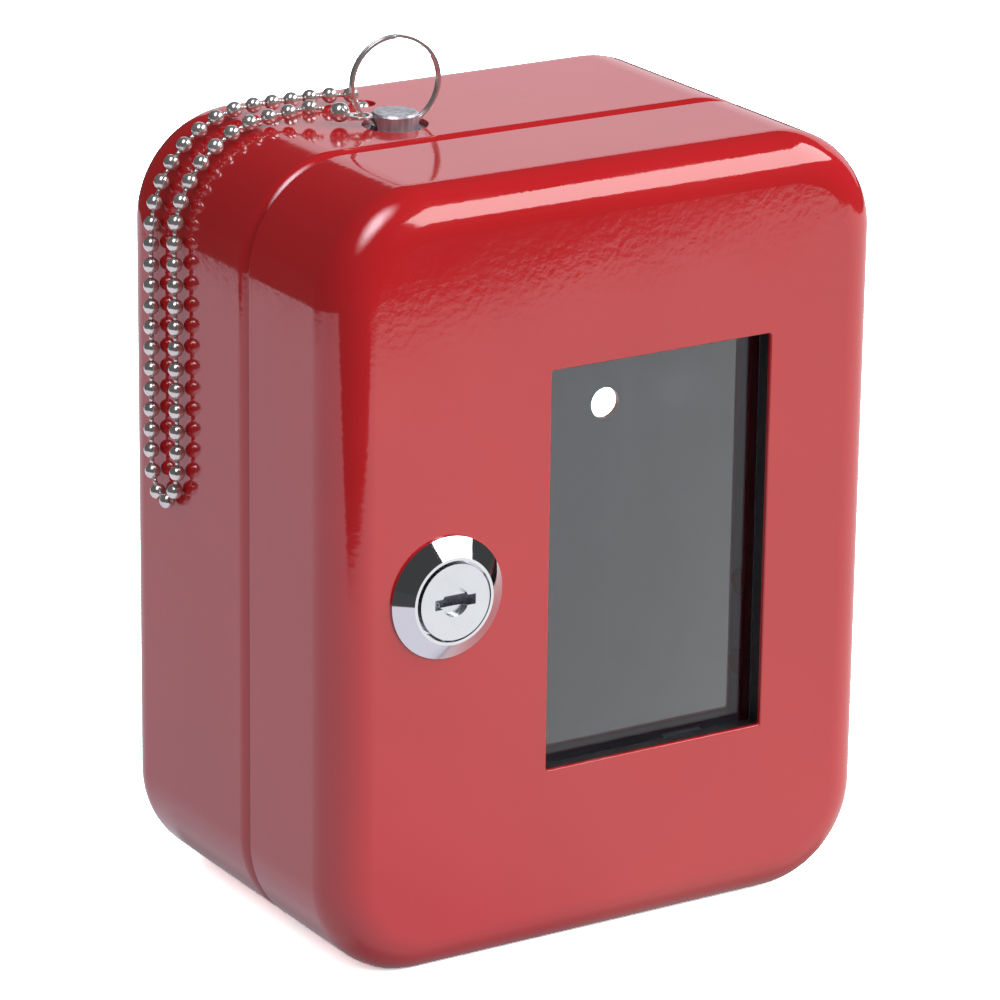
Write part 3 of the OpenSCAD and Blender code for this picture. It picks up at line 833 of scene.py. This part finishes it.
def make_floor():
    """A pale table that reads white to the camera and lights the box from below more softly."""
    bm = bmesh.new()
    bmesh.ops.create_grid(bm, x_segments=1, y_segments=1, size=FLOOR_SIZE)
    material, tree, surface = bare_material("floor_white")
    seen = tree.nodes.new("ShaderNodeBsdfDiffuse")
    seen.inputs["Color"].default_value = (*FLOOR_SEEN, 1)
    bounce = tree.nodes.new("ShaderNodeBsdfDiffuse")
    bounce.inputs["Color"].default_value = (FLOOR_BOUNCE, FLOOR_BOUNCE, FLOOR_BOUNCE, 1)
    mirrored = tree.nodes.new("ShaderNodeEmission")
    mirrored.inputs["Strength"].default_value = FLOOR_MIRRORED
    path = tree.nodes.new("ShaderNodeLightPath")
    matte = either(tree, path.outputs["Is Diffuse Ray"], seen.outputs["BSDF"], bounce.outputs["BSDF"])
    look = either(tree, path.outputs["Is Glossy Ray"], matte, mirrored.outputs["Emission"])
    tree.links.new(look, surface)
    mesh_object(bm, "floor", [material])


def card(name, loops, colors):
    """A card that only glossy surfaces see: loops of points, from its middle out, each with its light."""
    bm = bmesh.new()
    made = [[bm.verts.new(point) for point in loop] for loop in loops]
    for first, second in zip(made, made[1:]):
        bridge(bm, first, second)
    if len(made) == 1:
        bm.faces.new(made[0])
    material, tree, surface = bare_material(name)
    piece = mesh_object(bm, name, [material])
    light = piece.data.color_attributes.new("light", "FLOAT_COLOR", "POINT")
    for spot, color in zip(light.data, [color for loop in colors for color in loop]):
        spot.color = (*color, 1)
    glow = tree.nodes.new("ShaderNodeEmission")
    attribute = tree.nodes.new("ShaderNodeAttribute")
    attribute.attribute_name = "light"
    tree.links.new(attribute.outputs["Color"], glow.inputs["Color"])
    tree.links.new(glow.outputs["Emission"], surface)
    piece.visible_camera = False
    piece.visible_diffuse = False
    piece.visible_transmission = False
    piece.visible_shadow = False


def card_facing(name, direction, distance, width, height, light, along=(0, 0, 1), soft=False):
    """A rectangular card in that direction from the box, facing it; a soft one is round and fades outward."""
    outward = Vector(direction).normalized()
    side = Vector(along).cross(outward).normalized() * width / 2
    rise = outward.cross(side).normalized() * height / 2
    at = CARD_CENTRE + outward * distance
    if soft:
        turns = [2 * math.pi * i / SOFT_SIDES for i in range(SOFT_SIDES)]
        loops = [
            [at + (side * math.cos(a) + rise * math.sin(a)) * reach for a in turns] for reach, _ in SOFT_FADE
        ]
        card(name, loops, [[[c * share for c in light]] * SOFT_SIDES for _, share in SOFT_FADE])
    else:
        corners = [at - side - rise, at + side - rise, at + side + rise, at - side + rise]
        card(name, [corners], [[light] * len(corners)])


def reach_to(outline, bearing):
    """How far a closed outline lies from the origin in that direction."""
    dx, dy = math.cos(bearing), math.sin(bearing)
    found = []
    for (ax, ay), (bx, by) in zip(outline, outline[1:] + outline[:1]):
        cross = dx * (by - ay) - dy * (bx - ax)
        if abs(cross) > 1e-9:
            share = (dy * ax - dx * ay) / cross
            if 0 <= share <= 1:
                found.append((ax + share * (bx - ax)) * dx + (ay + share * (by - ay)) * dy)
    return max(found)


def make_table():
    """The white sheet that the enamel mirrors; its light fades close to the box and is cooler on the left."""
    turns = [math.radians(i) for i in range(0, 360, 2)]
    half_y = (BACK_Y - FRONT_Y) / 2
    foot = [(-HALF_W, -half_y), (HALF_W, -half_y), (HALF_W, half_y), (-HALF_W, half_y)]
    bands = [(foot, grow, share) for grow, share in FOOT_SHADE]
    bands += [(TABLE, grow, share) for grow, share in TABLE_EDGE]
    leftness = [min(max((TABLE_TURNOVER - math.cos(a)) / (2 * TABLE_TURNOVER), 0), 1) for a in turns]
    sides = list(zip(TABLE_LEFT, TABLE_RIGHT))
    loops, colors = [], []
    for outline, grow, share in bands:
        reach = [reach_to(outline, turn) * grow for turn in turns]
        loops.append([(math.cos(a) * r, math.sin(a) * r, TABLE_LIFT) for a, r in zip(turns, reach)])
        colors.append([[share * (right + (left - right) * t) for left, right in sides] for t in leftness])
    card("table", loops, colors)


def sun(name, direction, strength, softness):
    """A broad soft light that gives no highlight of its own; direction points to the light."""
    data = bpy.data.lights.new(name, "SUN")
    data.energy = strength
    data.angle = math.radians(softness)
    light = bpy.data.objects.new(name, data)
    light.rotation_euler = Vector(direction).to_track_quat("Z", "Y").to_euler()
    light.visible_glossy = False
    bpy.context.scene.collection.objects.link(light)


def make_world():
    """White to the camera, dim to matte surfaces, and dark to glossy ones."""
    world = bpy.data.worlds.new("studio")
    world.use_nodes = True
    tree = world.node_tree
    tree.nodes.clear()
    path = tree.nodes.new("ShaderNodeLightPath")

    def background(strength):
        node = tree.nodes.new("ShaderNodeBackground")
        node.inputs["Color"].default_value = (1, 1, 1, 1)
        node.inputs["Strength"].default_value = strength
        return node.outputs["Background"]

    unseen = either(tree, path.outputs["Is Glossy Ray"], background(FILL), background(DARK))
    look = either(tree, path.outputs["Is Camera Ray"], unseen, background(WORLD_SEEN))
    tree.links.new(look, tree.nodes.new("ShaderNodeOutputWorld").inputs["Surface"])
    bpy.context.scene.world = world


def make_studio():
    """Floor, background, one soft light for matte surfaces and four cards for glossy ones."""
    make_floor()
    make_world()
    sun("key", (0.6, -0.64, 0.6), 2.45, 60)
    # White sweep behind on the right, softbox in front on the right, and a lamp above on the left
    card_facing("sweep", (0.72, 0.69, 0.23), 3, 3.4, 1.6, (0.91, 0.89, 0.95))
    card_facing("softbox", (0.629, -0.457, 0.629), 2, 2.26, 1.0, (4.7, 4.7, 4.7))
    card_facing("lamp", (-0.32, -0.26, 0.91), 2, 2.6, 1.3, (9, 8.6, 9.4), along=(0.5, -0.7, 0.2), soft=True)
    make_table()


# The camera and the cord come first, then the other pieces, then the studio
make_camera()
make_chain(make_fittings())
make_split_ring()
make_shells()
dress_nodes()
make_studio()
bpy.context.scene.view_settings.view_transform = "Standard"
